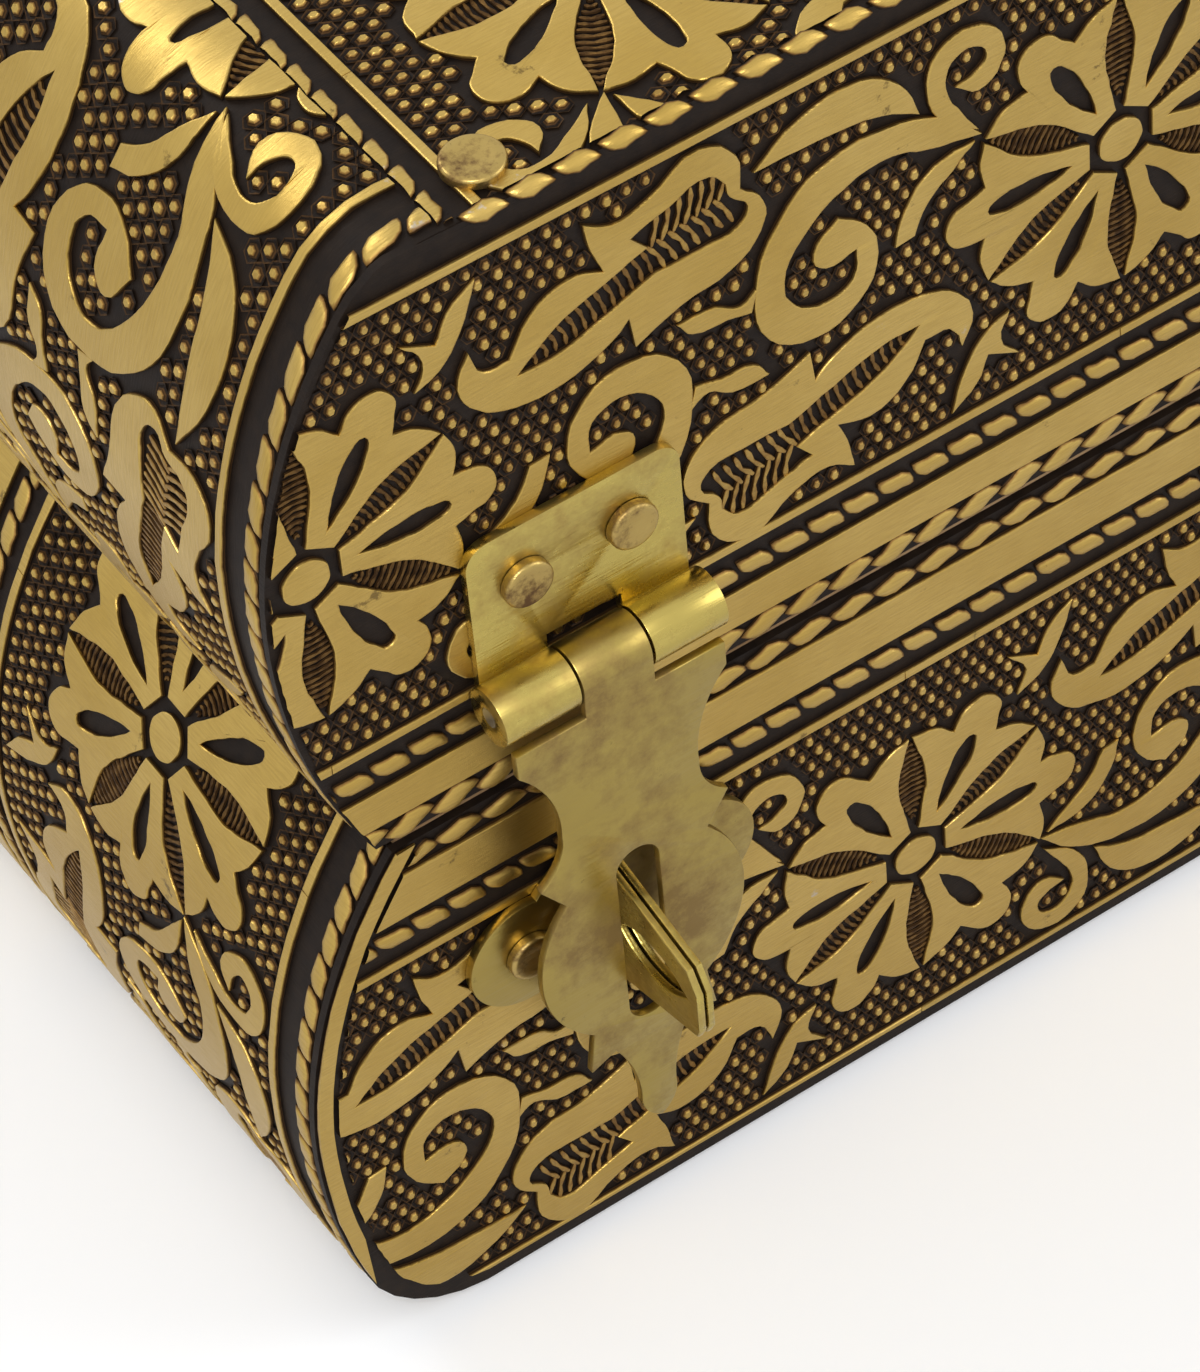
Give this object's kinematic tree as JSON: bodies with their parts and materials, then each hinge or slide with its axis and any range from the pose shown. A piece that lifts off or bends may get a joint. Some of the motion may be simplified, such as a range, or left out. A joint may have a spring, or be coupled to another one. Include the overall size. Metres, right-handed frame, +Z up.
{
  "type": "musical jewelry box",
  "caption": "Rectangular musical jewelry box with swelling ends, embossed floral metal sheet over a wooden case, a rear-hinged lid, front hasp latches and a lined interior.",
  "frame": {"origin": "centre of the case's underside, on the face of the felt that it rests on", "axes": "+Z up; +X along the case's length, towards its right end seen from the front; the latched front faces -Y"},
  "size_m": [0.2, 0.1349, 0.1127],
  "materials": {
    "embossed_sheet": "embossed thin sheet, gold raised work over a black oxidised ground",
    "hasp_brass": "rolled sheet brass, lightly tarnished and scratched",
    "nail_brass": "dull brown tarnished heads",
    "pin_steel": "drawn wire",
    "tack_steel": "small worn tack heads",
    "case_wood": "fine fibreboard, sawn",
    "velvet": "short-pile wine red velvet on card",
    "felt": "pressed black felt",
    "mirror_glass": "silvered flat glass",
    "movement_steel": "ground spring steel",
    "movement_brass": "turned brass",
    "bedplate_zinc": "die cast, plain",
    "key_nickel": "nickel plated steel",
    "fly_plastic": "plain moulded"
  },
  "bodies": {
    "base": {"base_back_board": "case_wood", "base_back_sheet": "embossed_sheet", "base_bottom_board": "case_wood", "base_felt": "felt", "base_front_board": "case_wood", "base_front_sheet": "embossed_sheet", "base_left_sheet": "embossed_sheet", "base_left_side": "case_wood", "base_lining": "velvet", "base_right_sheet": "embossed_sheet", "base_right_side": "case_wood", "base_tacks": "tack_steel", "comb": "movement_steel", "cross_partition": "velvet", "floor_pad": "velvet", "governor_frame": "movement_steel", "hinge_base_leaf_left": "hasp_brass", "hinge_base_leaf_right": "hasp_brass", "hinge_base_nails": "nail_brass", "hinge_pins": "pin_steel", "long_divider": "velvet", "movement_bedplate": "bedplate_zinc", "movement_block": "case_wood", "movement_cover": "velvet", "movement_screws": "movement_steel", "ring_rolls": "velvet", "spring_housing": "movement_brass", "staple_left": "hasp_brass", "staple_nails": "nail_brass", "staple_plate_left": "hasp_brass", "staple_plate_right": "hasp_brass", "staple_right": "hasp_brass", "stop_wire": "movement_steel"},
    "lid": {"hasp_leaf_left": "hasp_brass", "hasp_leaf_nails": "nail_brass", "hasp_leaf_right": "hasp_brass", "hasp_pins": "pin_steel", "hinge_lid_leaf_left": "hasp_brass", "hinge_lid_leaf_right": "hasp_brass", "hinge_lid_nails": "nail_brass", "lid_back_board": "case_wood", "lid_back_sheet": "embossed_sheet", "lid_front_board": "case_wood", "lid_front_sheet": "embossed_sheet", "lid_left_sheet": "embossed_sheet", "lid_left_side": "case_wood", "lid_lining": "velvet", "lid_right_sheet": "embossed_sheet", "lid_right_side": "case_wood", "lid_top_board": "case_wood", "lid_top_nails": "tack_steel", "lid_top_sheet": "embossed_sheet", "mirror": "mirror_glass", "stop_striker": "movement_brass"},
    "hasp_left": {"hasp_flap_left": "hasp_brass"},
    "hasp_right": {"hasp_flap_right": "hasp_brass"},
    "key": {"winding_key": "key_nickel", "winding_arbor": "movement_steel"},
    "cylinder": {"cylinder": "movement_brass"},
    "governor": {"governor_fly": "fly_plastic"}
  },
  "joints": [
    {"name": "lid_hinge", "type": "hinge", "parent": "base", "child": "lid", "pos_m": [0, 0.0611, 0.056], "axis": [-1, 0, 0], "range_deg": [0, 100], "deforming": ["stop_wire"]},
    {"name": "hasp_left_swing", "type": "hinge", "parent": "lid", "child": "hasp_left", "pos_m": [-0.0728, -0.0615, 0.0674], "axis": [-1, 0, 0], "range_deg": [0, 150]},
    {"name": "hasp_right_swing", "type": "hinge", "parent": "lid", "child": "hasp_right", "pos_m": [0.0728, -0.0615, 0.0674], "axis": [-1, 0, 0], "range_deg": [0, 150]},
    {"name": "key_turn", "type": "hinge", "parent": "base", "child": "key", "pos_m": [0.048, 0.02, 0.006], "axis": [0, 0, 1], "continuous": true},
    {"name": "cylinder_spin", "type": "hinge", "parent": "base", "child": "cylinder", "pos_m": [0.067, 0.02, 0.0245], "axis": [1, 0, 0], "continuous": true},
    {"name": "governor_spin", "type": "hinge", "parent": "base", "child": "governor", "pos_m": [0.0705, 0.0293, 0.024], "axis": [0, 0, 1], "continuous": true}
  ],
  "couplings": [
    {"joint": "governor_spin", "follows": "cylinder_spin", "ratio": 12}
  ]
}
